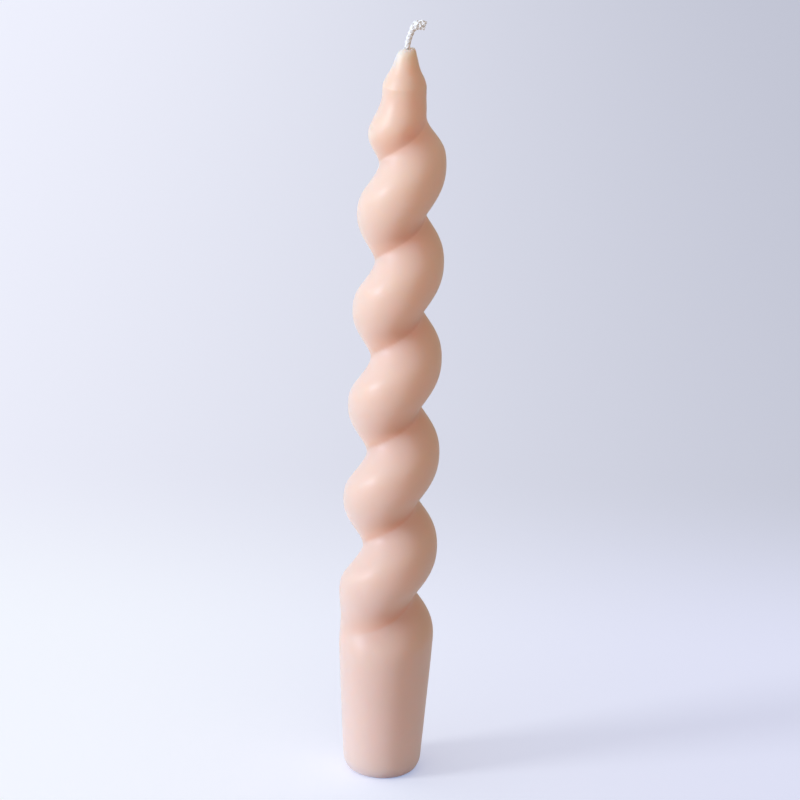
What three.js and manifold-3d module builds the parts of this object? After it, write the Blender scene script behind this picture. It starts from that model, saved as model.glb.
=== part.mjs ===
// Spiral taper candle: a cast wax body with one right-handed spiral ridge, and the cotton wick through it.
// Millimetres, +Z up, the centre of the foot at the origin, and the wick's hook leaning towards +X.
import * as THREE from 'three';
import { mergeVertices } from 'three/addons/utils/BufferGeometryUtils.js';
import Module from 'manifold-3d';

// Wax body as a whole
const WAX_HEIGHT = 205;

// Butt: the plain tapered end that seats in a holder's cup
const FOOT_RADIUS = 10.47;
const BUTT_TAPER = 0.0645;
const BUTT_BLEND = 0.4;
const FOOT_ROUND_INSET = 2.5;
const FOOT_ROUND_HEIGHT = 4.3;

// Spiral: a rounded section set off from the axis, turned as it rises
const SPIRAL_PITCH = 26.95;
const SPIRAL_START_DEG = 193.9;
const CREST_RADIUS = 14.08;
const CREST_TAPER = 0.0149;
const SECTION_OFFSET = 2.64;
const SECTION_HALF_WIDTH = 12.17;
const GROOVE_DEEPENING = 1.07;
const FLANK_SKEW = 0.082;

// Where the groove grows out of the butt and fades into the neck
const GROOVE_START_HEIGHT = 38.4;
const GROOVE_GROWTH = 11.6;
const GROOVE_START_FOLLOW = 0.59;
const NECK_RADIUS = 5.82;
const NECK_OFFSET = 0.3;
const NECK_LENGTH = 2.2;
const NECK_FADE = 16;

// Tip: from the neck to the wick, as shares of the tip's length and of its drop in radius
const TIP_LENGTH = 9.6;
const TIP_SHAPE = [[0, 0], [0.19, 0.145], [0.41, 0.4], [0.54, 0.515], [0.75, 0.65], [0.88, 0.76], [1, 1]];
const TIP_WALL = 0.45;

// Nib: the lip of wax left standing beside the wick, on the side it bends to
const NIB_RISE = 0.6;
const NIB_REACH = 0.3;
const NIB_LENGTH = 1.6;

// Wick: straight through the whole body
const WICK_DIAMETER = 1.45;
const WICK_CLEARANCE = 0.3;
const WICK_RECESS = 0.3;

// Wick's stub above the wax: it stands, leans, hooks over and ends in a splayed cut
const STAND_LENGTH = 2.5;
const LEAN_LENGTH = 3.4;
const HOOK_LENGTH = 2.4;
const CUT_END_LENGTH = 1.1;
const STAND_TURN_DEG = 12;
const LEAN_TURN_DEG = 12;
const HOOK_TURN_DEG = 72;
const CUT_END_TURN_DEG = 10;
const CUT_END_WIDTH = 2.7;
const SPLAY_LENGTH = 3.4;

// Fineness of the faceted surfaces
const SIDES = 44;
const ROWS_PER_TURN = 14;
const FOOT_ROWS = 5;
const TIP_ROWS = 12;
const WICK_SIDES = 12;
const BORE_SIDES = 24;
const STUB_STEP = 0.6;
const CUTTER_OVERRUN = 2;

const { smoothstep, lerp, degToRad, clamp } = THREE.MathUtils;
const TURN = 2 * Math.PI;
const WICK_RADIUS = WICK_DIAMETER / 2;
const BORE_RADIUS = WICK_RADIUS + WICK_CLEARANCE;
const TIP_TOP_RADIUS = BORE_RADIUS + TIP_WALL;
const NECK_TOP = WAX_HEIGHT - TIP_LENGTH;
const FADE_END = NECK_TOP - NECK_LENGTH;
const STUB_ARCS = [
  [STAND_LENGTH, STAND_TURN_DEG],
  [LEAN_LENGTH, LEAN_TURN_DEG],
  [HOOK_LENGTH, HOOK_TURN_DEG],
  [CUT_END_LENGTH, CUT_END_TURN_DEG],
];
const STUB_LENGTH = STAND_LENGTH + LEAN_LENGTH + HOOK_LENGTH + CUT_END_LENGTH;
const TIP_CURVE = new THREE.SplineCurve(TIP_SHAPE.map(([rise, drop]) => new THREE.Vector2(
  NECK_TOP + rise * TIP_LENGTH,
  lerp(NECK_RADIUS, TIP_TOP_RADIUS, drop),
)));

// Distance from the axis to the offset elliptical section, at an angle from the ridge's crest
function sectionRadius(angle) {
  const a = angle + FLANK_SKEW * (1 - Math.cos(angle));
  const radialHalf = CREST_RADIUS - SECTION_OFFSET;
  const along = Math.cos(a) / radialHalf;
  const across = Math.sin(a) / SECTION_HALF_WIDTH;
  const shift = SECTION_OFFSET / radialHalf;
  const square = along * along + across * across;
  const half = shift * along;
  const ellipse = (half + Math.sqrt(half * half + square * (1 - shift * shift))) / square;
  const valley = (1 - Math.cos(angle)) / 2;
  return ellipse - GROOVE_DEEPENING * valley ** 6;
}

// Turns from the crest at this height, from -0.5 below it to 0.5 above it
function turnsFromCrest(theta, z) {
  const turns = z / SPIRAL_PITCH - (theta - degToRad(SPIRAL_START_DEG)) / TURN;
  return turns - Math.round(turns);
}

// The smaller of the butt's cone and the ridge's crest, with a soft edge between them
function envelopeRadius(z) {
  const cone = FOOT_RADIUS + BUTT_TAPER * z;
  const crest = CREST_RADIUS - CREST_TAPER * z;
  return -BUTT_BLEND * Math.log(Math.exp(-cone / BUTT_BLEND) + Math.exp(-crest / BUTT_BLEND));
}

// Share of the groove's depth: none on the butt, all of it above, along a line that follows the groove
function grooveShare(turns, z) {
  const toGroove = (Math.sign(turns || 1) * 0.5 - turns) * SPIRAL_PITCH;
  const height = z + GROOVE_START_FOLLOW * toGroove;
  return smoothstep(height, GROOVE_START_HEIGHT, GROOVE_START_HEIGHT + GROOVE_GROWTH);
}

// Added to the radius of the neck and tip, which stand a little off the axis, away from the nib
function neckShift(theta) {
  return -NECK_OFFSET * Math.cos(theta);
}

function footInset(z) {
  const down = clamp(1 - z / FOOT_ROUND_HEIGHT, 0, 1);
  return FOOT_ROUND_INSET * (1 - Math.sqrt(1 - down * down));
}

// Wax radius anywhere below the tip
function bodyRadius(theta, z) {
  const turns = turnsFromCrest(theta, z);
  const crest = CREST_RADIUS - CREST_TAPER * z;
  const groove = crest * (1 - sectionRadius(turns * TURN) / CREST_RADIUS);
  const spiral = envelopeRadius(z) - groove * grooveShare(turns, z);
  const fade = smoothstep(z, FADE_END - NECK_FADE, FADE_END);
  return lerp(spiral, NECK_RADIUS + neckShift(theta), fade) - footInset(z);
}

function ring(heightAt, radiusAt) {
  return Array.from({ length: SIDES }, (_, side) => {
    const theta = (side / SIDES) * TURN;
    const radius = radiusAt(theta);
    return new THREE.Vector3(radius * Math.cos(theta), radius * Math.sin(theta), heightAt(theta));
  });
}

function footRings() {
  return Array.from({ length: FOOT_ROWS }, (_, row) => {
    const z = FOOT_ROUND_HEIGHT * (1 - Math.cos((row / FOOT_ROWS) * (TURN / 4)));
    return ring(() => z, (theta) => bodyRadius(theta, z));
  });
}

function spiralRings() {
  const span = NECK_TOP - FOOT_ROUND_HEIGHT;
  const rows = Math.ceil((span / SPIRAL_PITCH) * ROWS_PER_TURN);
  return Array.from({ length: rows }, (_, row) => {
    const z = FOOT_ROUND_HEIGHT + (row / rows) * span;
    return ring(() => z, (theta) => bodyRadius(theta, z));
  });
}

// The tip's rings, which come back to the axis, raised and widened into the nib over their last stretch
function tipRings() {
  return TIP_CURVE.getPoints(TIP_ROWS).map(({ x: z, y: radius }) => {
    const below = (WAX_HEIGHT - z) / TIP_LENGTH;
    const nib = smoothstep(z, WAX_HEIGHT - NIB_LENGTH, WAX_HEIGHT);
    const side = (theta) => nib * ((1 + Math.cos(theta)) / 2) ** 3;
    return ring(
      (theta) => z + NIB_RISE * side(theta),
      (theta) => radius + below * neckShift(theta) + NIB_REACH * side(theta),
    );
  });
}

// Closed skin over a stack of rings with equal numbers of points, with a fan on each end
function loft(rings) {
  const sides = rings[0].length;
  const centre = (points) => points.reduce((sum, p) => sum.add(p), new THREE.Vector3()).divideScalar(sides);
  const points = [...rings.flat(), centre(rings[0]), centre(rings.at(-1))];
  const bottom = points.length - 2;
  const top = points.length - 1;
  const last = (rings.length - 1) * sides;
  const index = [];
  for (let side = 0; side < sides; side += 1) {
    const next = (side + 1) % sides;
    for (let row = 0; row < last; row += sides) {
      index.push(row + side, row + next, row + sides + next);
      index.push(row + side, row + sides + next, row + sides + side);
    }
    index.push(bottom, next, side);
    index.push(top, last + side, last + next);
  }
  const geometry = new THREE.BufferGeometry().setFromPoints(points);
  geometry.setIndex(index);
  return geometry;
}

// Points and headings along the stub, whose arcs all lie in the XZ plane, with the length left to its end
function stubPath() {
  const path = [{ x: 0, z: WAX_HEIGHT, heading: 0, toEnd: STUB_LENGTH }];
  for (const [length, turn] of STUB_ARCS) {
    const steps = Math.ceil(length / STUB_STEP);
    for (let step = 0; step < steps; step += 1) {
      const { x, z, heading, toEnd } = path.at(-1);
      const stride = length / steps;
      const bend = degToRad(turn) / steps;
      path.push({
        x: x + stride * Math.sin(heading + bend / 2),
        z: z + stride * Math.cos(heading + bend / 2),
        heading: heading + bend,
        toEnd: toEnd - stride,
      });
    }
  }
  return path;
}

// One round of the wick, wider in the plane of its bend towards the splayed cut end
function wickRing({ x, z, heading, toEnd }) {
  const splay = smoothstep(SPLAY_LENGTH - toEnd, 0, SPLAY_LENGTH);
  const halfWidth = lerp(WICK_RADIUS, CUT_END_WIDTH / 2, splay);
  return Array.from({ length: WICK_SIDES }, (_, side) => {
    const angle = (side / WICK_SIDES) * TURN;
    const across = halfWidth * Math.cos(angle);
    return new THREE.Vector3(
      x + across * Math.cos(heading),
      WICK_RADIUS * Math.sin(angle),
      z - across * Math.sin(heading),
    );
  });
}

function wickGeometry() {
  const foot = { x: 0, z: WICK_RECESS, heading: 0, toEnd: WAX_HEIGHT + STUB_LENGTH - WICK_RECESS };
  return loft([foot, ...stubPath()].map(wickRing));
}

// Straight cutter for the wick's bore, past both ends of the wax
function boreGeometry() {
  const length = WAX_HEIGHT + NIB_RISE + 2 * CUTTER_OVERRUN;
  const bore = new THREE.CylinderGeometry(BORE_RADIUS, BORE_RADIUS, length, BORE_SIDES);
  bore.rotateX(TURN / 4);
  return bore.translate(0, 0, length / 2 - CUTTER_OVERRUN);
}

function toSolid(wasm, geometry) {
  const bare = geometry.clone();
  bare.deleteAttribute('normal');
  bare.deleteAttribute('uv');
  const merged = mergeVertices(bare);
  return new wasm.Manifold(new wasm.Mesh({
    numProp: 3,
    vertProperties: new Float32Array(merged.attributes.position.array),
    triVerts: new Uint32Array(merged.index.array),
  }));
}

function toGeometry(solid) {
  const { vertProperties, triVerts } = solid.getMesh();
  const geometry = new THREE.BufferGeometry();
  geometry.setAttribute('position', new THREE.BufferAttribute(vertProperties, 3));
  geometry.setIndex(new THREE.BufferAttribute(triVerts, 1));
  return geometry;
}

async function waxGeometry() {
  const wasm = await Module();
  wasm.setup();
  const body = toSolid(wasm, loft([...footRings(), ...spiralRings(), ...tipRings()]));
  return toGeometry(body.subtract(toSolid(wasm, boreGeometry())));
}

function namedMesh(name, geometry, material) {
  geometry.computeVertexNormals();
  const mesh = new THREE.Mesh(geometry, new THREE.MeshStandardMaterial(material));
  mesh.name = name;
  return mesh;
}

const candle = new THREE.Group();
candle.add(namedMesh('wax_body', await waxGeometry(), { color: 0xf0cdb8, roughness: 0.42, metalness: 0 }));
candle.add(namedMesh('wick', wickGeometry(), { color: 0xf4f2ec, roughness: 0.85, metalness: 0 }));

export default candle;
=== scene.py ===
"""Looks of a cast spiral taper candle: a satin wax body and its plaited cotton wick, on pale paper."""

import sys

import logging
import math
from dataclasses import dataclass, field
from enum import Enum
from typing import Any, Optional, Union

import bpy
from mathutils import Matrix, Vector


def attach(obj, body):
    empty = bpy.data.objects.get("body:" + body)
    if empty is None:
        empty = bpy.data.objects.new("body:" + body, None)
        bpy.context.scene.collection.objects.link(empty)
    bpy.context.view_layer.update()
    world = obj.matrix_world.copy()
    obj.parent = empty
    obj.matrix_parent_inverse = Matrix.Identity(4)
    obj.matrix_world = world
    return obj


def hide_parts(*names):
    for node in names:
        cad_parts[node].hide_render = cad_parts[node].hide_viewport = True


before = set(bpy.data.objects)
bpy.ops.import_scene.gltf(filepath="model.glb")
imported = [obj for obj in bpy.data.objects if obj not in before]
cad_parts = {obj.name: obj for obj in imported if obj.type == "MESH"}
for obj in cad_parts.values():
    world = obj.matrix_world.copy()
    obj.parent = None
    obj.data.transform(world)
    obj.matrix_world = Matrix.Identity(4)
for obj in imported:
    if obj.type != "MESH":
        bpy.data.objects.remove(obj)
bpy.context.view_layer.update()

log = logging.getLogger("candle")

MM = 0.001
TURN = 2 * math.pi
# A Mix node's factor and colour sockets by number, because its other sockets share their names
MIX_INPUTS = (0, 6, 7)
MIX_RESULT = 2
Value = Union[float, str, tuple[float, ...]]


class Body(Enum):
    """The bodies that pieces ride on."""

    CANDLE = "root"


class Slot(Enum):
    """The record's material slots."""

    WAX = "wax"
    WICK = "wick_cotton"


def linear(code: str) -> tuple[float, float, float, float]:
    """Turns an sRGB hex colour into linear RGBA.

    Args:
        code: the colour as six hex digits.

    Returns:
        Linear red, green, blue and an alpha of 1.
    """
    parts = [int(code[i:i + 2], 16) / 255 for i in (0, 2, 4)]
    red, green, blue = [p / 12.92 if p <= 0.04045 else ((p + 0.055) / 1.055) ** 2.4 for p in parts]
    return red, green, blue, 1.0


def add(tree: bpy.types.NodeTree, kind: str, inputs: Optional[dict[Any, Any]] = None, **settings: Any) -> Any:
    """Adds a node with its settings, and fills or links its inputs.

    Args:
        tree: the node tree.
        kind: the node's type.
        inputs: values, or sockets to link from, by the input's name or number.
        **settings: the node's own properties.

    Returns:
        The new node.
    """
    node = tree.nodes.new(kind)
    for name, value in settings.items():
        setattr(node, name, value)
    for key, value in (inputs or {}).items():
        if isinstance(value, bpy.types.NodeSocket):
            tree.links.new(value, node.inputs[key])
        else:
            node.inputs[key].default_value = value
    return node


def work_out(tree: bpy.types.NodeTree, known: dict[str, Any], *steps: tuple[Value, ...]) -> None:
    """Runs a table of sums, one node for each row, and keeps each result under its name.

    Args:
        tree: the node tree.
        known: sockets by name, which grows by each result.
        *steps: (result, operation, operand, ...), where an operand is a number, a colour or the name of a
            known value. LINEAR and SMOOTHSTEP give the share of the way that a value has gone between two
            ends, or the same share of the way between a second pair. MIX blends two colours by a share.
    """
    for result, operation, *operands in steps:
        values = [known.get(operand, operand) for operand in operands]
        if operation == "MIX":
            mixed = add(tree, "ShaderNodeMix", dict(zip(MIX_INPUTS, values)), data_type="RGBA")
            known[result] = mixed.outputs[MIX_RESULT]
        elif operation in ("LINEAR", "SMOOTHSTEP"):
            ranged = add(tree, "ShaderNodeMapRange", dict(enumerate(values)), interpolation_type=operation)
            known[result] = ranged.outputs[0]
        else:
            summed = add(tree, "ShaderNodeMath", dict(enumerate(values)), operation=operation)
            known[result] = summed.outputs[0]


def geometry_tree(name: str, sizes: dict[str, float]) -> tuple[bpy.types.NodeTree, dict[str, Any]]:
    """Starts a geometry tree with named inputs.

    Args:
        name: the tree's name.
        sizes: the default of each input, by name.

    Returns:
        The tree, and the sockets of its inputs by name.
    """
    tree = bpy.data.node_groups.new(name, "GeometryNodeTree")
    tree.interface.new_socket("Geometry", in_out="OUTPUT", socket_type="NodeSocketGeometry")
    tree.interface.new_socket("Geometry", in_out="INPUT", socket_type="NodeSocketGeometry")
    for key, value in sizes.items():
        tree.interface.new_socket(key, in_out="INPUT", socket_type="NodeSocketFloat").default_value = value
    tree.interface.new_socket("Finish", in_out="INPUT", socket_type="NodeSocketMaterial")
    entry = add(tree, "NodeGroupInput")
    return tree, {s.name: s for s in entry.outputs if s.name}


def finish_tree(tree: bpy.types.NodeTree, geometry: Any, finish: Any) -> None:
    """Ends a geometry tree in smooth, real and dressed geometry.

    Args:
        tree: the tree.
        geometry: the socket of the geometry so far.
        finish: the socket of the material.
    """
    smooth = add(tree, "GeometryNodeSetShadeSmooth", {"Geometry": geometry})
    real = add(tree, "GeometryNodeRealizeInstances", {"Geometry": smooth.outputs[0]})
    dressed = add(tree, "GeometryNodeSetMaterial", {"Geometry": real.outputs[0], "Material": finish})
    add(tree, "NodeGroupOutput", {"Geometry": dressed.outputs[0]})


def grow(name: str, base: bpy.types.ID, tree: bpy.types.NodeTree, sizes: dict[str, Any]) -> bpy.types.Object:
    """Runs a geometry tree on a base object and keeps its result as a plain mesh.

    Args:
        name: the piece's name.
        base: the mesh or curve data that the tree starts from.
        tree: the geometry tree.
        sizes: the value of each named input.

    Returns:
        The piece, with no modifier left on it.
    """
    holder = bpy.data.objects.new(name + "_base", base)
    bpy.context.scene.collection.objects.link(holder)
    modifier = holder.modifiers.new(name, "NODES")
    modifier.node_group = tree
    sockets = {s.name: s.identifier for s in tree.interface.items_tree if s.in_out == "INPUT"}
    for key, value in sizes.items():
        modifier[sockets[key]] = value
    bpy.context.view_layer.update()
    evaluated = holder.evaluated_get(bpy.context.evaluated_depsgraph_get())
    mesh = bpy.data.meshes.new_from_object(evaluated)
    holder.modifiers.remove(modifier)
    bpy.data.objects.remove(holder)
    mesh.name = name
    piece = bpy.data.objects.new(name, mesh)
    bpy.context.scene.collection.objects.link(piece)
    return piece


def new_material(name: str) -> tuple[bpy.types.Material, bpy.types.NodeTree, Any]:
    """Starts a material.

    Args:
        name: the material's name.

    Returns:
        The material, its empty tree and its output node.
    """
    material = bpy.data.materials.new(name)
    material.use_nodes = True
    tree = material.node_tree
    tree.nodes.clear()
    return material, tree, add(tree, "ShaderNodeOutputMaterial")


@dataclass(frozen=True)
class CastWax:
    """Dyed candle wax, cast in a smooth mould: a satin skin over a body that light soaks into."""

    # Partly painted light: the foot's colour is darker and pinker than the top's, standing in for shade and
    # the floor's bounce
    foot: str = "dfbcaa"
    top: str = "f4cbb3"
    # Painted light: the tip's colour is lighter and redder, standing in for light that shines through the
    # thin wax
    tip: str = "fec9af"
    # Painted shade: the darker, redder colour laid under each ridge, where the groove is shaded
    groove_shade: str = "e0aa86"
    pale: str = "f4cdb8"
    film: str = "fff0e8"
    top_mm: float = 200.0
    tip_from_mm: float = 172.0
    tip_to_mm: float = 198.0
    film_lean: float = -1.6
    film_from_mm: float = 204.6
    film_to_mm: float = 207.4
    film_share: float = 0.5
    clouding: float = 0.25
    mottle_mm: float = 9.0
    speck_cell_mm: float = 9.0
    speck_mm: float = 0.16
    ripple_mm: float = 2.2
    ripple_depth_mm: float = 0.02
    ripple_strength: float = 0.5
    glow_mm: float = 14.76
    tip_glow_mm: float = 10.0
    thin_from_mm: float = 182.0
    thin_to_mm: float = 202.0
    glow_green: float = 0.711
    glow_blue: float = 0.515
    roughness: float = 0.519
    ior: float = 1.44
    specular: float = 0.565
    bloom: float = 0.591
    bloom_roughness: float = 0.732
    polish: float = 0.12
    polish_roughness: float = 0.26

    def colour(self, tree: bpy.types.NodeTree, place: Any, known: dict[str, Any]) -> None:
        """Mixes the wax's colour.

        It is pinker and darker at the foot and warmer at the top, partly painted shade and floor bounce;
        redder and lighter in the tip, painted light for the glow through the thin wax; and deepest under the
        ridge, painted shade in the groove. A film of paler wax lies on the left of the wick.

        Args:
            tree: the material's tree.
            place: the socket of the object coordinates.
            known: sockets by name, with x and z, which gains the results.
        """
        # Painted shade in the groove: the share of the darker groove colour, stored by the wax body
        groove = add(tree, "ShaderNodeAttribute", attribute_name="groove")
        # Slight clouding from the way the wax cooled
        cloud = add(tree, "ShaderNodeTexNoise", {
            "Vector": place, "Scale": 1 / (self.mottle_mm * MM), "Detail": 3.0})
        # A few pale specks: dust and wax crumbs, and partly painted glints where the wax catches the light
        cells = add(tree, "ShaderNodeTexVoronoi", {"Vector": place, "Scale": 1 / (self.speck_cell_mm * MM)})
        known["depth"] = groove.outputs["Fac"]
        known["cloud"] = cloud.outputs[0]
        known["off speck"] = cells.outputs["Distance"]
        work_out(
            tree, known,
            ("rise", "SMOOTHSTEP", "z", 0.0, self.top_mm * MM),
            ("at tip", "SMOOTHSTEP", "z", self.tip_from_mm * MM, self.tip_to_mm * MM),
            ("clouded", "MULTIPLY", "cloud", self.clouding),
            ("speck and glint", "LESS_THAN", "off speck", self.speck_mm / self.speck_cell_mm),
            ("paler", "MAXIMUM", "clouded", "speck and glint"),
            ("left and up", "MULTIPLY_ADD", "x", self.film_lean, "z"),
            ("by wick", "SMOOTHSTEP", "left and up", self.film_from_mm * MM, self.film_to_mm * MM),
            ("whiter", "MULTIPLY", "by wick", self.film_share),
            # Partly painted light: darker and pinker towards the foot, for shade and the floor's lavender
            # bounce, and warmer towards the top
            ("upright colour", "MIX", "rise", linear(self.foot), linear(self.top)),
            # Painted light: lighter and redder in the tip, for the glow through the thin wax
            ("tipped colour", "MIX", "at tip", "upright colour", linear(self.tip)),
            # Painted shade: darker and redder under each ridge, where the groove is shaded
            ("groove shaded colour", "MIX", "depth", "tipped colour", linear(self.groove_shade)),
            ("clouded colour", "MIX", "paler", "groove shaded colour", linear(self.pale)),
            ("colour", "MIX", "whiter", "clouded colour", linear(self.film)),
        )

    def build(self) -> bpy.types.Material:
        """Builds the material.

        Returns:
            The material.
        """
        material, tree, output = new_material("cast_candle_wax")
        place = add(tree, "ShaderNodeTexCoord").outputs["Object"]
        parts = add(tree, "ShaderNodeSeparateXYZ", {0: place})
        known = {"x": parts.outputs[0], "z": parts.outputs[2]}
        self.colour(tree, place, known)
        # The reach is shorter in the thin tip, where a long one would let too much of the red escape
        reach = (self.thin_from_mm * MM, self.thin_to_mm * MM, self.glow_mm * MM, self.tip_glow_mm * MM)
        work_out(tree, known, ("glow", "SMOOTHSTEP", "z", *reach))
        # The skin's faint ripple softens the edges of its highlights
        ripple = add(tree, "ShaderNodeTexNoise", {"Vector": place, "Scale": 1 / (self.ripple_mm * MM)})
        skin = add(tree, "ShaderNodeBump", {
            "Height": ripple.outputs[0],
            "Distance": self.ripple_depth_mm * MM,
            "Strength": self.ripple_strength,
        })
        shader = add(tree, "ShaderNodeBsdfPrincipled", {
            "Base Color": known["colour"],
            "Roughness": self.roughness,
            "IOR": self.ior,
            "Specular IOR Level": self.specular,
            "Subsurface Weight": 1.0,
            "Subsurface Radius": (1.0, self.glow_green, self.glow_blue),
            "Subsurface Scale": known["glow"],
            "Sheen Weight": self.bloom,
            "Sheen Roughness": self.bloom_roughness,
            "Coat Weight": self.polish,
            "Coat Roughness": self.polish_roughness,
            "Normal": skin.outputs[0],
        })
        tree.links.new(shader.outputs[0], output.inputs["Surface"])
        return material


@dataclass(frozen=True)
class PlaitedCotton:
    """Bleached cotton yarn, plaited and primed with wax: matt white with fine twisted yarns."""

    yarn: str = "fefefd"
    shade: str = "faf9f7"
    # Real fibres are several times finer, and are drawn coarse enough to show
    fibre_mm: float = 0.12
    fibre_depth_mm: float = 0.03
    fibre_strength: float = 0.6
    roughness: float = 0.7
    fuzz: float = 1.0

    def build(self) -> bpy.types.Material:
        """Builds the material.

        Returns:
            The material.
        """
        material, tree, output = new_material("plaited_waxed_cotton")
        place = add(tree, "ShaderNodeTexCoord").outputs["Object"]
        fibres = add(tree, "ShaderNodeTexNoise", {
            "Vector": place, "Scale": 1 / (self.fibre_mm * MM), "Detail": 2.0})
        known = {"fibres": fibres.outputs[0]}
        work_out(tree, known, ("tint", "MIX", "fibres", linear(self.shade), linear(self.yarn)))
        bump = add(tree, "ShaderNodeBump", {
            "Height": known["fibres"],
            "Distance": self.fibre_depth_mm * MM,
            "Strength": self.fibre_strength,
        })
        shader = add(tree, "ShaderNodeBsdfPrincipled", {
            "Base Color": known["tint"],
            "Roughness": self.roughness,
            "Sheen Weight": self.fuzz,
            "Normal": bump.outputs[0],
        })
        tree.links.new(shader.outputs[0], output.inputs["Surface"])
        return material


@dataclass(frozen=True)
class SweepPaper:
    """Matt lavender-white paper on a darker, warmer table, with painted light: brightest on the left, near
    the window, and darker to the right.

    The camera sees the first four colours. Light comes back to the candle from the next three: the paper, the
    table round it and a ring of painted shade at the candle's foot. Lengths in metres.
    """

    # Painted light: the paper is painted lighter on the left and darker to the right, most of all towards the
    # back
    near_left: str = "f3f7ff"
    near_right: str = "dfe2f6"
    far_left: str = "f1f3ff"
    far_right: str = "c0c3d2"
    bounce: str = "e8ebf6"
    table: str = "ccb7a2"
    # Painted shade: the darker, pinker paper right beside the foot, for the foot's contact shadow
    under: str = "cdaab2"
    near_reach: float = 0.14
    far_reach: float = 0.25
    far_from: float = 0.08
    far_to: float = 0.24
    under_to: float = 0.0105
    under_from: float = 0.0165
    open_light: tuple[float, float, float] = (0.72, 0.69, 0.69)
    lit_share: tuple[float, float, float] = (0.74, 0.61, 0.45)
    bounce_to: float = 0.03
    table_from: float = 0.1
    roughness: float = 0.9
    specular: float = 0.1

    def build(self) -> bpy.types.Material:
        """Builds the material, whose glow shows only to the camera and in reflections.

        In full light, the light on the paper gives the lit share of its colour and the glow the rest, so the
        paper looks as written there and keeps the candle's shadow.

        Returns:
            The material.
        """
        material, tree, output = new_material("sweep_paper")
        place = add(tree, "ShaderNodeTexCoord").outputs["Object"]
        parts = add(tree, "ShaderNodeSeparateXYZ", {0: place})
        ray = add(tree, "ShaderNodeLightPath")
        known = {
            "x": parts.outputs[0],
            "y": parts.outputs[1],
            "camera": ray.outputs["Is Camera Ray"],
            "glossy": ray.outputs["Is Glossy Ray"],
            "through": ray.outputs["Is Transmission Ray"],
        }
        work_out(
            tree, known,
            # Painted light: the window's fall-off across the paper, lighter on the left and darker to the
            # right and back
            ("near share", "SMOOTHSTEP", "x", -self.near_reach, self.near_reach),
            ("far share", "SMOOTHSTEP", "x", -self.far_reach, self.far_reach),
            ("back", "SMOOTHSTEP", "y", self.far_from, self.far_to),
            ("near", "MIX", "near share", linear(self.near_left), linear(self.near_right)),
            ("far", "MIX", "far share", linear(self.far_left), linear(self.far_right)),
            ("shown", "MIX", "back", "near", "far"),
            ("front", "MINIMUM", "y", 0.0),
            ("front square", "MULTIPLY", "front", "front"),
            ("off square", "MULTIPLY_ADD", "x", "x", "front square"),
            ("off paper", "SQRT", "off square"),
            ("beyond", "SMOOTHSTEP", "off paper", self.bounce_to, self.table_from),
            ("x square", "MULTIPLY", "x", "x"),
            ("square", "MULTIPLY_ADD", "y", "y", "x square"),
            ("from foot", "SQRT", "square"),
            ("clear of foot", "SMOOTHSTEP", "from foot", self.under_to, self.under_from),
            ("mirrored", "MAXIMUM", "camera", "glossy"),
            ("seen", "MAXIMUM", "mirrored", "through"),
        )
        answer = [share / light for share, light in zip(self.lit_share, self.open_light)]
        lit = add(tree, "ShaderNodeVectorMath", {0: known["shown"], 1: answer}, operation="MULTIPLY")
        rest = [1 - share for share in self.lit_share]
        glow = add(tree, "ShaderNodeVectorMath", {0: known["shown"], 1: rest}, operation="MULTIPLY")
        known["lit"] = lit.outputs[0]
        work_out(
            tree, known,
            ("around", "MIX", "beyond", linear(self.bounce), linear(self.table)),
            # Painted shade: the candle's own light sees a darker, pinker ring of paper right beside the foot
            ("shaded", "MIX", "clear of foot", linear(self.under), "around"),
            ("paper", "MIX", "seen", "shaded", "lit"),
        )
        shader = add(tree, "ShaderNodeBsdfPrincipled", {
            "Base Color": known["paper"],
            "Roughness": self.roughness,
            "Specular IOR Level": self.specular,
            "Emission Color": glow.outputs[0],
            "Emission Strength": known["seen"],
        })
        tree.links.new(shader.outputs[0], output.inputs["Surface"])
        return material


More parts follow.
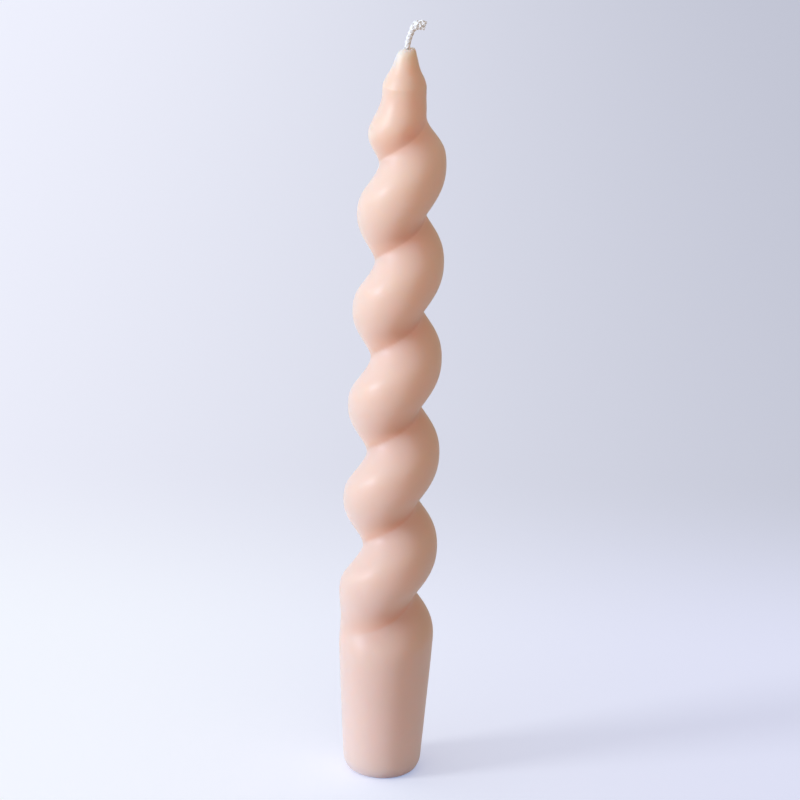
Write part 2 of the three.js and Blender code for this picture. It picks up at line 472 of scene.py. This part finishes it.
@dataclass
class WaxBody:
    """The cast wax: rounded foot, plain butt, one right-handed ridge, neck, tip and nib. Lengths in mm."""

    sizes: dict[str, float] = field(default_factory=lambda: {
        "Height": 205.0,
        "Foot radius": 10.47,
        "Butt taper": 0.0645,
        "Butt blend": 1.66,
        "Foot round inset": 2.5,
        "Foot round height": 4.3,
        "Pitch": 26.95,
        "Start turn": 193.9 / 360,
        "Crest radius": 14.08,
        "Crest taper": 0.0149,
        "Section offset": 2.64,
        "Section half width": 12.17,
        "Groove deepening": 1.07,
        "Groove power": 6.0,
        "Flank skew": 0.082,
        "Groove start": 38.4,
        "Groove growth": 11.6,
        "Groove follow": 0.59,
        # How far the painted groove shade reaches from the valley, in turns, above it and below it
        "Shade above": 0.294,
        "Shade below": 0.03,
        "Neck radius": 5.82,
        "Neck offset": 0.3,
        "Neck length": 2.2,
        "Neck fade": 16.0,
        "Tip length": 9.6,
        "Tip top radius": 1.475,
        "Nib rise": 0.6,
        "Nib reach": 0.3,
        "Nib length": 1.6,
        "Nib power": 3.0,
        "Wick radius": 0.5,
        "Hole radius": 0.95,
        "Hole depth": 2.5,
        "Collar rise": 1.1,
        "Collar slope": 1.4,
        "Collar power": 1.6,
        "Unevenness": 0.08,
    })
    tip_shape: tuple[tuple[float, float], ...] = (
        (0, 0), (0.19, 0.145), (0.41, 0.4), (0.54, 0.515), (0.75, 0.65), (0.88, 0.76), (1, 1))
    columns: int = 160
    rows: int = 440
    # Where each part of the surface ends, as a share of the rows from the foot's hole to the top
    hole_end: float = 0.004
    hole_wall: float = 0.012
    foot_end: float = 0.03
    wall_end: float = 0.965
    collar_end: float = 0.992
    even_rows: float = 0.15
    wave_length: float = 14.0
    weld: float = 0.001

    def spread(self, tree: bpy.types.NodeTree, known: dict[str, Any]) -> None:
        """Names where each grid point lies: its angle, its height and its share of the foot, collar and bore.

        Args:
            tree: the geometry tree.
            known: sockets by name, which gains the results.
        """
        place = add(tree, "GeometryNodeInputPosition")
        parts = add(tree, "ShaderNodeSeparateXYZ", {0: place.outputs[0]})
        known["across"], known["up"] = parts.outputs[0], parts.outputs[1]
        work_out(
            tree, known,
            ("around", "ADD", "across", 0.5),
            ("theta", "MULTIPLY", "around", TURN),
            ("x share", "COSINE", "theta"),
            ("y share", "SINE", "theta"),
            ("along", "ADD", "up", 0.5),
        )
        work_out(
            tree, known,
            ("hole end share", "LINEAR", "along", 0.0, self.hole_end),
            ("hole wall share", "LINEAR", "along", self.hole_end, self.hole_wall),
            ("foot share", "LINEAR", "along", self.hole_wall, self.foot_end),
            ("wall share", "LINEAR", "along", self.foot_end, self.wall_end),
            ("wall ease", "SMOOTHSTEP", "along", self.foot_end, self.wall_end),
            ("collar share", "LINEAR", "along", self.wall_end, self.collar_end),
            ("end share", "LINEAR", "along", self.collar_end, 1.0),
            ("plain part", "MULTIPLY", "wall share", self.even_rows),
            ("eased", "MULTIPLY_ADD", "wall ease", 1 - self.even_rows, "plain part"),
            ("z", "MULTIPLY", "eased", "Height"),
        )

    def section(self, tree: bpy.types.NodeTree, known: dict[str, Any]) -> None:
        """Works out the offset elliptical section: its radius at the angle from the ridge's crest.

        Args:
            tree: the geometry tree.
            known: sockets by name, which gains the results.
        """
        work_out(
            tree, known,
            ("climb", "DIVIDE", "z", "Pitch"),
            ("lag", "SUBTRACT", "Start turn", "around"),
            ("turns", "ADD", "climb", "lag"),
            ("whole", "ROUND", "turns"),
            ("part", "SUBTRACT", "turns", "whole"),
            ("angle", "MULTIPLY", "part", TURN),
            ("cosine", "COSINE", "angle"),
            ("off crest", "SUBTRACT", 1.0, "cosine"),
            ("skewed", "MULTIPLY_ADD", "Flank skew", "off crest", "angle"),
            ("radial half", "SUBTRACT", "Crest radius", "Section offset"),
            ("skewed cosine", "COSINE", "skewed"),
            ("skewed sine", "SINE", "skewed"),
            ("radial", "DIVIDE", "skewed cosine", "radial half"),
            ("sideways", "DIVIDE", "skewed sine", "Section half width"),
            ("shift", "DIVIDE", "Section offset", "radial half"),
            ("radial square", "MULTIPLY", "radial", "radial"),
            ("square", "MULTIPLY_ADD", "sideways", "sideways", "radial square"),
            ("half", "MULTIPLY", "shift", "radial"),
            ("half square", "MULTIPLY", "half", "half"),
            ("shift square", "MULTIPLY", "shift", "shift"),
            ("inside", "SUBTRACT", 1.0, "shift square"),
            ("under root", "MULTIPLY_ADD", "square", "inside", "half square"),
            ("root", "SQRT", "under root"),
            ("top", "ADD", "half", "root"),
            ("ellipse", "DIVIDE", "top", "square"),
            ("valley", "MULTIPLY", "off crest", 0.5),
            ("sharp valley", "POWER", "valley", "Groove power"),
            ("cut", "MULTIPLY", "sharp valley", "Groove deepening"),
            ("section", "SUBTRACT", "ellipse", "cut"),
        )

    def wall(self, tree: bpy.types.NodeTree, known: dict[str, Any]) -> None:
        """Works out the wall's radius: butt, spiral, neck and rounded foot.

        Args:
            tree: the geometry tree.
            known: sockets by name, which gains the results.
        """
        work_out(
            tree, known,
            ("drop", "MULTIPLY", "Crest taper", "z"),
            ("crest", "SUBTRACT", "Crest radius", "drop"),
            ("cone", "MULTIPLY_ADD", "Butt taper", "z", "Foot radius"),
            ("envelope", "SMOOTH_MIN", "cone", "crest", "Butt blend"),
            ("filled", "DIVIDE", "section", "Crest radius"),
            ("empty", "SUBTRACT", 1.0, "filled"),
            ("groove", "MULTIPLY", "crest", "empty"),
            ("side", "SIGN", "part"),
            ("to groove", "MULTIPLY", "side", 0.5),
            ("turns to groove", "SUBTRACT", "to groove", "part"),
            ("height to groove", "MULTIPLY", "turns to groove", "Pitch"),
            ("follow", "MULTIPLY_ADD", "height to groove", "Groove follow", "z"),
            ("groove end", "ADD", "Groove start", "Groove growth"),
            ("neck top", "SUBTRACT", "Height", "Tip length"),
            ("fade end", "SUBTRACT", "neck top", "Neck length"),
            ("fade start", "SUBTRACT", "fade end", "Neck fade"),
        )
        work_out(
            tree, known,
            ("groove share", "SMOOTHSTEP", "follow", "Groove start", "groove end"),
            ("neck share", "SMOOTHSTEP", "z", "fade start", "fade end"),
            ("above round", "LINEAR", "z", 0.0, "Foot round height"),
            ("dug", "MULTIPLY", "groove", "groove share"),
            ("spiral", "SUBTRACT", "envelope", "dug"),
            ("neck shift", "MULTIPLY", "Neck offset", "x share"),
            ("neck", "SUBTRACT", "Neck radius", "neck shift"),
            ("to neck", "SUBTRACT", "neck", "spiral"),
            ("necked", "MULTIPLY_ADD", "to neck", "neck share", "spiral"),
            ("down", "SUBTRACT", 1.0, "above round"),
            ("down square", "MULTIPLY", "down", "down"),
            ("arc square", "SUBTRACT", 1.0, "down square"),
            ("arc", "SQRT", "arc square"),
            ("short of arc", "SUBTRACT", 1.0, "arc"),
            ("inset", "MULTIPLY", "short of arc", "Foot round inset"),
            ("body", "SUBTRACT", "necked", "inset"),
            # Painted shade: how much of the darker groove colour lies here, strongest under each ridge and
            # none in the neck
            ("open", "SUBTRACT", 1.0, "neck share"),
            ("shade top", "ADD", "Shade above", -0.5),
            ("shade under ridge", "SMOOTHSTEP", "part", "shade top", -0.5),
            ("shade bottom", "SUBTRACT", 0.5, "Shade below"),
            ("shade over ridge", "SMOOTHSTEP", "part", "shade bottom", 0.5),
            ("tint", "MAXIMUM", "shade under ridge", "shade over ridge"),
            ("open shade", "MULTIPLY", "tint", "open"),
            ("groove shade share", "MULTIPLY", "open shade", "groove share"),
        )

    def tip(self, tree: bpy.types.NodeTree, known: dict[str, Any]) -> None:
        """Works out the tip: its bell profile, the nib beside the wick and the collar that climbs the wick.

        Args:
            tree: the geometry tree.
            known: sockets by name, which gains the results.
        """
        work_out(tree, known, ("rise", "LINEAR", "z", "neck top", "Height"))
        profile = add(tree, "ShaderNodeFloatCurve", {"Value": known["rise"]})
        line = profile.mapping.curves[0]
        for number, (rise, drop) in enumerate(self.tip_shape):
            if 0 < number < len(self.tip_shape) - 1:
                line.points.new(rise, drop)
        line.points[0].location = self.tip_shape[0]
        line.points[-1].location = self.tip_shape[-1]
        profile.mapping.update()
        known["drop share"] = profile.outputs[0]
        work_out(
            tree, known,
            ("nib start", "SUBTRACT", "Height", "Nib length"),
            ("nib share", "SMOOTHSTEP", "z", "nib start", "Height"),
            ("tip drop", "SUBTRACT", "Neck radius", "Tip top radius"),
            ("tapered", "MULTIPLY", "tip drop", "drop share"),
            ("narrowed", "SUBTRACT", "body", "tapered"),
            ("tip radius", "MULTIPLY_ADD", "neck shift", "rise", "narrowed"),
            ("towards nib", "MULTIPLY_ADD", "x share", 0.5, 0.5),
            ("nib side", "POWER", "towards nib", "Nib power"),
            ("nib", "MULTIPLY", "nib side", "nib share"),
            ("outer", "MULTIPLY_ADD", "Nib reach", "nib", "tip radius"),
            ("outer z", "MULTIPLY_ADD", "Nib rise", "nib", "z"),
            ("collar fall", "MULTIPLY", "nib side", "Collar slope"),
            ("collar lift", "SUBTRACT", "Collar rise", "collar fall"),
            ("collar z", "ADD", "Height", "collar lift"),
        )

    def tree(self) -> bpy.types.NodeTree:
        """Builds the geometry tree of the whole body.

        Returns:
            The tree.
        """
        tree, known = geometry_tree("wax_body", self.sizes)
        self.spread(tree, known)
        self.section(tree, known)
        self.wall(tree, known)
        self.tip(tree, known)
        flat = add(tree, "ShaderNodeCombineXYZ", {0: known["x share"], 1: known["y share"]})
        spot = add(tree, "ShaderNodeVectorMath", {
            0: flat.outputs[0], "Scale": known["outer"]}, operation="SCALE")
        lifted = add(tree, "ShaderNodeCombineXYZ", {2: known["z"]})
        where = add(tree, "ShaderNodeVectorMath", {0: spot.outputs[0], 1: lifted.outputs[0]}, operation="ADD")
        waves = add(tree, "ShaderNodeTexNoise", {
            "Vector": where.outputs[0], "Scale": 1 / self.wave_length, "Detail": 2.0})
        known["waves"] = waves.outputs[0]
        work_out(
            tree, known,
            ("swell", "SUBTRACT", "waves", 0.5),
            ("uneven", "MULTIPLY_ADD", "swell", "Unevenness", "outer"),
            ("hole", "MULTIPLY", "Hole radius", "hole end share"),
            ("past hole", "SUBTRACT", "uneven", "Hole radius"),
            ("foot and wall", "MULTIPLY_ADD", "past hole", "foot share", "hole"),
            ("to wick", "SUBTRACT", "Wick radius", "uneven"),
            ("collar", "MULTIPLY_ADD", "to wick", "collar share", "foot and wall"),
            ("unclosed", "SUBTRACT", 1.0, "end share"),
            ("radius", "MULTIPLY", "collar", "unclosed"),
            ("in hole", "SUBTRACT", 1.0, "hole wall share"),
            ("raised", "MULTIPLY_ADD", "Hole depth", "in hole", "outer z"),
            ("collar ease", "POWER", "collar share", "Collar power"),
            ("to collar", "SUBTRACT", "collar z", "outer z"),
            ("height", "MULTIPLY_ADD", "to collar", "collar ease", "raised"),
            ("x mm", "MULTIPLY", "radius", "x share"),
            ("y mm", "MULTIPLY", "radius", "y share"),
        )
        point = add(tree, "ShaderNodeCombineXYZ", {0: known["x mm"], 1: known["y mm"], 2: known["height"]})
        metres = add(tree, "ShaderNodeVectorMath", {0: point.outputs[0], "Scale": MM}, operation="SCALE")
        grid = add(tree, "GeometryNodeMeshGrid", {
            "Size X": 1.0, "Size Y": 1.0, "Vertices X": self.columns + 1, "Vertices Y": self.rows + 1})
        # Painted shade: the material deepens the colour by this attribute, under each ridge where the groove
        # is shaded
        kept = add(tree, "GeometryNodeStoreNamedAttribute", {
            "Geometry": grid.outputs[0], "Name": "groove", "Value": known["groove shade share"]}, data_type="FLOAT")
        placed = add(tree, "GeometryNodeSetPosition", {
            "Geometry": kept.outputs[0], "Position": metres.outputs[0]})
        welded = add(tree, "GeometryNodeMergeByDistance", {
            "Geometry": placed.outputs[0], "Distance": self.weld * MM})
        finish_tree(tree, welded.outputs[0], known["Finish"])
        return tree

    def build(self, finish: bpy.types.Material) -> bpy.types.Object:
        """Builds the wax.

        Args:
            finish: the wax's material.

        Returns:
            The piece.
        """
        base = bpy.data.meshes.new("wax_base")
        piece = grow("cast_wax", base, self.tree(), {**self.sizes, "Finish": finish})
        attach(piece, Body.CANDLE.value)
        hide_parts("wax_body")
        return piece


@dataclass
class Wick:
    """The plaited wick, from the foot through the wax and over in a hook. Lengths in mm."""

    wax_height: float = 205.0
    recess: float = 0.3
    stub_arcs: tuple[tuple[float, float], ...] = ((2.5, 12), (3.4, 12), (2.4, 72), (1.4, 12))
    step: float = 0.12
    sizes: dict[str, float] = field(default_factory=lambda: {
        "Braid lap": 5.2,
        "Braid radius": 0.55,
        "Over and under": 0.04,
        "Yarn offset": 0.085,
        "Yarn radius": 0.165,
        "Yarn twist": 1.9,
        "Core radius": 0.72,
        "Splay": 0.75,
        "Core splay": 0.36,
        "Core cut back": 0.64,
        "Splay start": 4.6,
        "Splay length": 2.4,
        "Ragged length": 0.45,
    })
    pairs: int = 4
    yarns: int = 3
    yarn_sides: int = 6
    core_sides: int = 12
    core_share: float = 0.997
    # Steps of the golden ratio, which spread the yarns' cut ends without a pattern
    ragged_step: float = 0.618
    ragged_start: float = 0.2
    hidden_step: float = 0.8

    def path(self) -> bpy.types.Curve:
        """Draws the wick's centre line, straight through the wax and then along the arcs of its stub.

        Returns:
            A curve of evenly spaced points.
        """
        straight = self.wax_height - self.recess
        count = math.ceil(straight / self.hidden_step)
        points = [Vector((0, 0, self.recess + straight * i / count)) for i in range(count + 1)]
        heading = 0.0
        for length, degrees in self.stub_arcs:
            steps = math.ceil(length / self.step)
            bend = math.radians(degrees) / steps
            for _ in range(steps):
                middle = heading + bend / 2
                points.append(points[-1] + Vector((math.sin(middle), 0, math.cos(middle))) * (length / steps))
                heading += bend
        data = bpy.data.curves.new("wick_path", "CURVE")
        data.dimensions = "3D"
        spline = data.splines.new("POLY")
        spline.points.add(len(points) - 1)
        for target, point in zip(spline.points, points):
            target.co = (*(point * MM), 1.0)
        return data

    def lay(self, tree: bpy.types.NodeTree, known: dict[str, Any]) -> None:
        """Works out where each yarn runs: strands wind both ways round the core, over and under by turns.

        Args:
            tree: the geometry tree.
            known: sockets by name, which gains the results.
        """
        work_out(
            tree, known,
            ("length", "DIVIDE", "length m", MM),
            ("strand share", "DIVIDE", "number", float(self.yarns)),
            ("strand", "FLOOR", "strand share"),
            ("yarn", "SUBTRACT", "strand share", "strand"),
            ("other way", "MODULO", "strand", 2.0),
            ("way", "MULTIPLY_ADD", "other way", -2.0, 1.0),
            ("half strand", "MULTIPLY", "strand", 0.5),
            ("pair", "FLOOR", "half strand"),
            ("laps", "DIVIDE", "length", "Braid lap"),
            ("wound", "MULTIPLY", "laps", TURN),
            ("pair lag", "MULTIPLY", "pair", TURN / self.pairs),
            ("angle", "MULTIPLY_ADD", "wound", "way", "pair lag"),
            ("crossings", "MULTIPLY", "wound", float(self.pairs)),
            ("crossing", "COSINE", "crossings"),
            ("over", "MULTIPLY", "crossing", "way"),
            ("out", "MULTIPLY_ADD", "over", "Over and under", "Braid radius"),
            ("twists", "DIVIDE", "length", "Yarn twist"),
            ("yarn turn", "ADD", "twists", "yarn"),
            ("yarn angle", "MULTIPLY", "yarn turn", TURN),
            ("cosine", "COSINE", "angle"),
            ("sine", "SINE", "angle"),
            ("yarn cosine", "COSINE", "yarn angle"),
            ("yarn sine", "SINE", "yarn angle"),
        )
        work_out(
            tree, known,
            ("whole length", "DIVIDE", "length", "share"),
            ("to end", "SUBTRACT", "whole length", "length"),
            ("past start", "SUBTRACT", "Splay start", "to end"),
            ("splay ease", "SMOOTHSTEP", "past start", 0.0, "Splay length"),
            ("wider", "MULTIPLY_ADD", "splay ease", "Splay", 1.0),
            ("core past start", "SUBTRACT", "past start", "Core cut back"),
            ("core ease", "SMOOTHSTEP", "core past start", 0.0, "Splay length"),
            ("core wider", "MULTIPLY_ADD", "core ease", "Core splay", 1.0),
            ("strand x", "MULTIPLY", "cosine", "out"),
            ("strand y", "MULTIPLY", "sine", "out"),
            ("side x", "MULTIPLY_ADD", "yarn cosine", "Yarn offset", "strand x"),
            ("side y", "MULTIPLY_ADD", "yarn sine", "Yarn offset", "strand y"),
            ("x mm", "MULTIPLY", "side x", "wider"),
            ("x m", "MULTIPLY", "x mm", MM),
            ("y mm", "MULTIPLY", "side y", "wider"),
            ("y m", "MULTIPLY", "y mm", MM),
            ("yarn m", "MULTIPLY", "Yarn radius", MM),
            ("core m", "MULTIPLY", "Core radius", MM),
            ("chosen", "MULTIPLY_ADD", "number", self.ragged_step, self.ragged_start),
            ("chance", "FRACT", "chosen"),
            ("cut back", "MULTIPLY", "chance", "Ragged length"),
            ("cut off", "LESS_THAN", "to end", "cut back"),
        )

    def tree(self) -> bpy.types.NodeTree:
        """Builds the geometry tree: a core, and the yarns as copies of its path, each moved to the side.

        Returns:
            The tree.
        """
        tree, known = geometry_tree("wick", self.sizes)
        copies = add(tree, "GeometryNodeDuplicateElements", {
            "Geometry": known["Geometry"], "Amount": 2 * self.pairs * self.yarns}, domain="SPLINE")
        along = add(tree, "GeometryNodeSplineParameter")
        known["number"], known["length m"] = copies.outputs["Duplicate Index"], along.outputs["Length"]
        known["share"] = along.outputs["Factor"]
        self.lay(tree, known)
        tangent = add(tree, "GeometryNodeInputTangent")
        depth = add(tree, "ShaderNodeCombineXYZ", {1: 1.0})
        width = add(tree, "ShaderNodeVectorMath", {0: depth.outputs[0], 1: tangent.outputs[0]},
                    operation="CROSS_PRODUCT")
        across = add(tree, "ShaderNodeVectorMath", {
            0: width.outputs[0], "Scale": known["x m"]}, operation="SCALE")
        inward = add(tree, "ShaderNodeVectorMath", {
            0: depth.outputs[0], "Scale": known["y m"]}, operation="SCALE")
        offset = add(tree, "ShaderNodeVectorMath", {
            0: across.outputs[0], 1: inward.outputs[0]}, operation="ADD")
        laid = add(tree, "GeometryNodeSetPosition", {
            "Geometry": copies.outputs[0], "Offset": offset.outputs[0]})
        ragged = add(tree, "GeometryNodeDeleteGeometry", {
            "Geometry": laid.outputs[0], "Selection": known["cut off"]}, domain="POINT")
        round_yarn = add(tree, "GeometryNodeCurvePrimitiveCircle", {
            "Resolution": self.yarn_sides, "Radius": known["yarn m"]})
        yarns = add(tree, "GeometryNodeCurveToMesh", {
            "Curve": ragged.outputs[0], "Profile Curve": round_yarn.outputs[0], "Fill Caps": True})
        # Input 3 is where the kept part of the curve ends
        short = add(tree, "GeometryNodeTrimCurve", {
            "Curve": known["Geometry"], 3: self.core_share}, mode="FACTOR")
        round_core = add(tree, "GeometryNodeCurvePrimitiveCircle", {
            "Resolution": self.core_sides, "Radius": known["core m"]})
        core = add(tree, "GeometryNodeCurveToMesh", {
            "Curve": short.outputs[0], "Profile Curve": round_core.outputs[0], "Scale": known["core wider"],
            "Fill Caps": True})
        both = add(tree, "GeometryNodeJoinGeometry", {0: core.outputs[0]})
        tree.links.new(yarns.outputs[0], both.inputs[0])
        finish_tree(tree, both.outputs[0], known["Finish"])
        return tree

    def build(self, finish: bpy.types.Material) -> bpy.types.Object:
        """Builds the wick.

        Args:
            finish: the cotton's material.

        Returns:
            The piece.
        """
        piece = grow("plaited_wick", self.path(), self.tree(), {**self.sizes, "Finish": finish})
        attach(piece, Body.CANDLE.value)
        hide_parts("wick")
        return piece


@dataclass
class Studio:
    """The pale floor, the soft light and the camera. Lengths in metres, angles in radians."""

    floor_radius: float = 6.0
    floor_corners: int = 96
    window_light: str = "d9e9ff"
    room_light: str = "ffd59b"
    sky_towards: float = 1.07
    sky_away: float = 0.15
    sky_focus: float = 1.68
    sky_back: float = 0.137
    sky_above: float = 0.357
    above_from: float = 0.2
    sky_from: tuple[float, float, float] = (-0.899, -0.437, 0.008)
    sun_from: tuple[float, float, float] = (-0.91, -0.348, 0.225)
    sun_strength: float = 2.37
    sun_softness: float = 0.28
    camera_distance: float = 1.0
    camera_height: float = 0.46303
    view_depth: float = 50.0
    pitch: float = 0.3411
    yaw: float = 0.0015
    roll: float = 0.0367
    focal_px: float = 3943.04
    picture_px: float = 800.0
    sensor_mm: float = 36.0

    def camera(self) -> None:
        """Places the camera at the photograph's viewpoint."""
        data = bpy.data.cameras.new("camera")
        data.sensor_width = self.sensor_mm
        data.lens = self.focal_px / self.picture_px * self.sensor_mm
        data.clip_end = self.view_depth
        sin_p, cos_p = math.sin(self.pitch), math.cos(self.pitch)
        sin_y, cos_y = math.sin(self.yaw), math.cos(self.yaw)
        ahead = Vector((cos_p * sin_y, cos_p * cos_y, -sin_p))
        level = Vector((cos_y, -sin_y, 0))
        upright = Vector((sin_p * sin_y, sin_p * cos_y, cos_p))
        right = math.cos(self.roll) * level + math.sin(self.roll) * upright
        above = math.cos(self.roll) * upright - math.sin(self.roll) * level
        turn = Matrix((right, above, -ahead)).transposed().to_4x4()
        camera = bpy.data.objects.new("camera", data)
        bpy.context.scene.collection.objects.link(camera)
        camera.matrix_world = Matrix.Translation((0, -self.camera_distance, self.camera_height)) @ turn
        bpy.context.scene.camera = camera

    def floor(self) -> None:
        """Lays the floor as a wide disc."""
        angles = [TURN * i / self.floor_corners for i in range(self.floor_corners)]
        corners = [self.floor_radius * Vector((math.cos(angle), math.sin(angle), 0)) for angle in angles]
        mesh = bpy.data.meshes.new("floor")
        mesh.from_pydata(corners, [], [tuple(range(self.floor_corners))])
        mesh.materials.append(SweepPaper().build())
        floor = bpy.data.objects.new("floor", mesh)
        bpy.context.scene.collection.objects.link(floor)

    def light(self) -> None:
        """Sets a sky that is brighter towards the window, and one large soft lamp near it."""
        world = bpy.data.worlds.new("studio")
        world.use_nodes = True
        tree = world.node_tree
        tree.nodes.clear()
        way = add(tree, "ShaderNodeTexCoord").outputs["Generated"]
        facing = add(tree, "ShaderNodeVectorMath", {0: way, 1: Vector(self.sky_from).normalized()},
                     operation="DOT_PRODUCT")
        parts = add(tree, "ShaderNodeSeparateXYZ", {0: way})
        known = {"facing": facing.outputs["Value"], "y": parts.outputs[1], "z": parts.outputs[2]}
        work_out(
            tree, known,
            ("share", "LINEAR", "facing", -1.0, 1.0),
            ("focused", "POWER", "share", self.sky_focus),
            ("sideways", "MULTIPLY_ADD", "focused", self.sky_towards - self.sky_away, self.sky_away),
            ("behind", "SMOOTHSTEP", "y", 0.0, 1.0),
            ("and back", "MULTIPLY_ADD", "behind", self.sky_back, "sideways"),
            ("above", "SMOOTHSTEP", "z", self.above_from, 1.0),
            ("level", "MULTIPLY_ADD", "above", self.sky_above, "and back"),
            ("tint", "MIX", "share", linear(self.room_light), linear(self.window_light)),
        )
        shine = add(tree, "ShaderNodeBackground", {"Color": known["tint"], "Strength": known["level"]})
        add(tree, "ShaderNodeOutputWorld", {"Surface": shine.outputs[0]})
        bpy.context.scene.world = world
        lamp = bpy.data.lights.new("window", "SUN")
        lamp.energy = self.sun_strength
        lamp.angle = self.sun_softness
        lamp.color = linear(self.window_light)[:3]
        holder = bpy.data.objects.new("window", lamp)
        bpy.context.scene.collection.objects.link(holder)
        holder.rotation_euler = (-Vector(self.sun_from)).to_track_quat("-Z", "Y").to_euler()

    def build(self) -> None:
        """Sets up the whole studio."""
        self.camera()
        self.floor()
        self.light()
        bpy.context.scene.view_settings.view_transform = "Standard"


def main() -> None:
    """Builds the studio and the candle's two pieces, and reports each."""
    logging.basicConfig(level=logging.INFO, format="%(name)s: %(message)s", stream=sys.stdout)
    Studio().build()
    log.info("studio ready")
    for piece in (WaxBody().build(CastWax().build()), Wick().build(PlaitedCotton().build())):
        log.info("%s: %d faces", piece.name, len(piece.data.polygons))


if __name__ == "__main__":
    main()
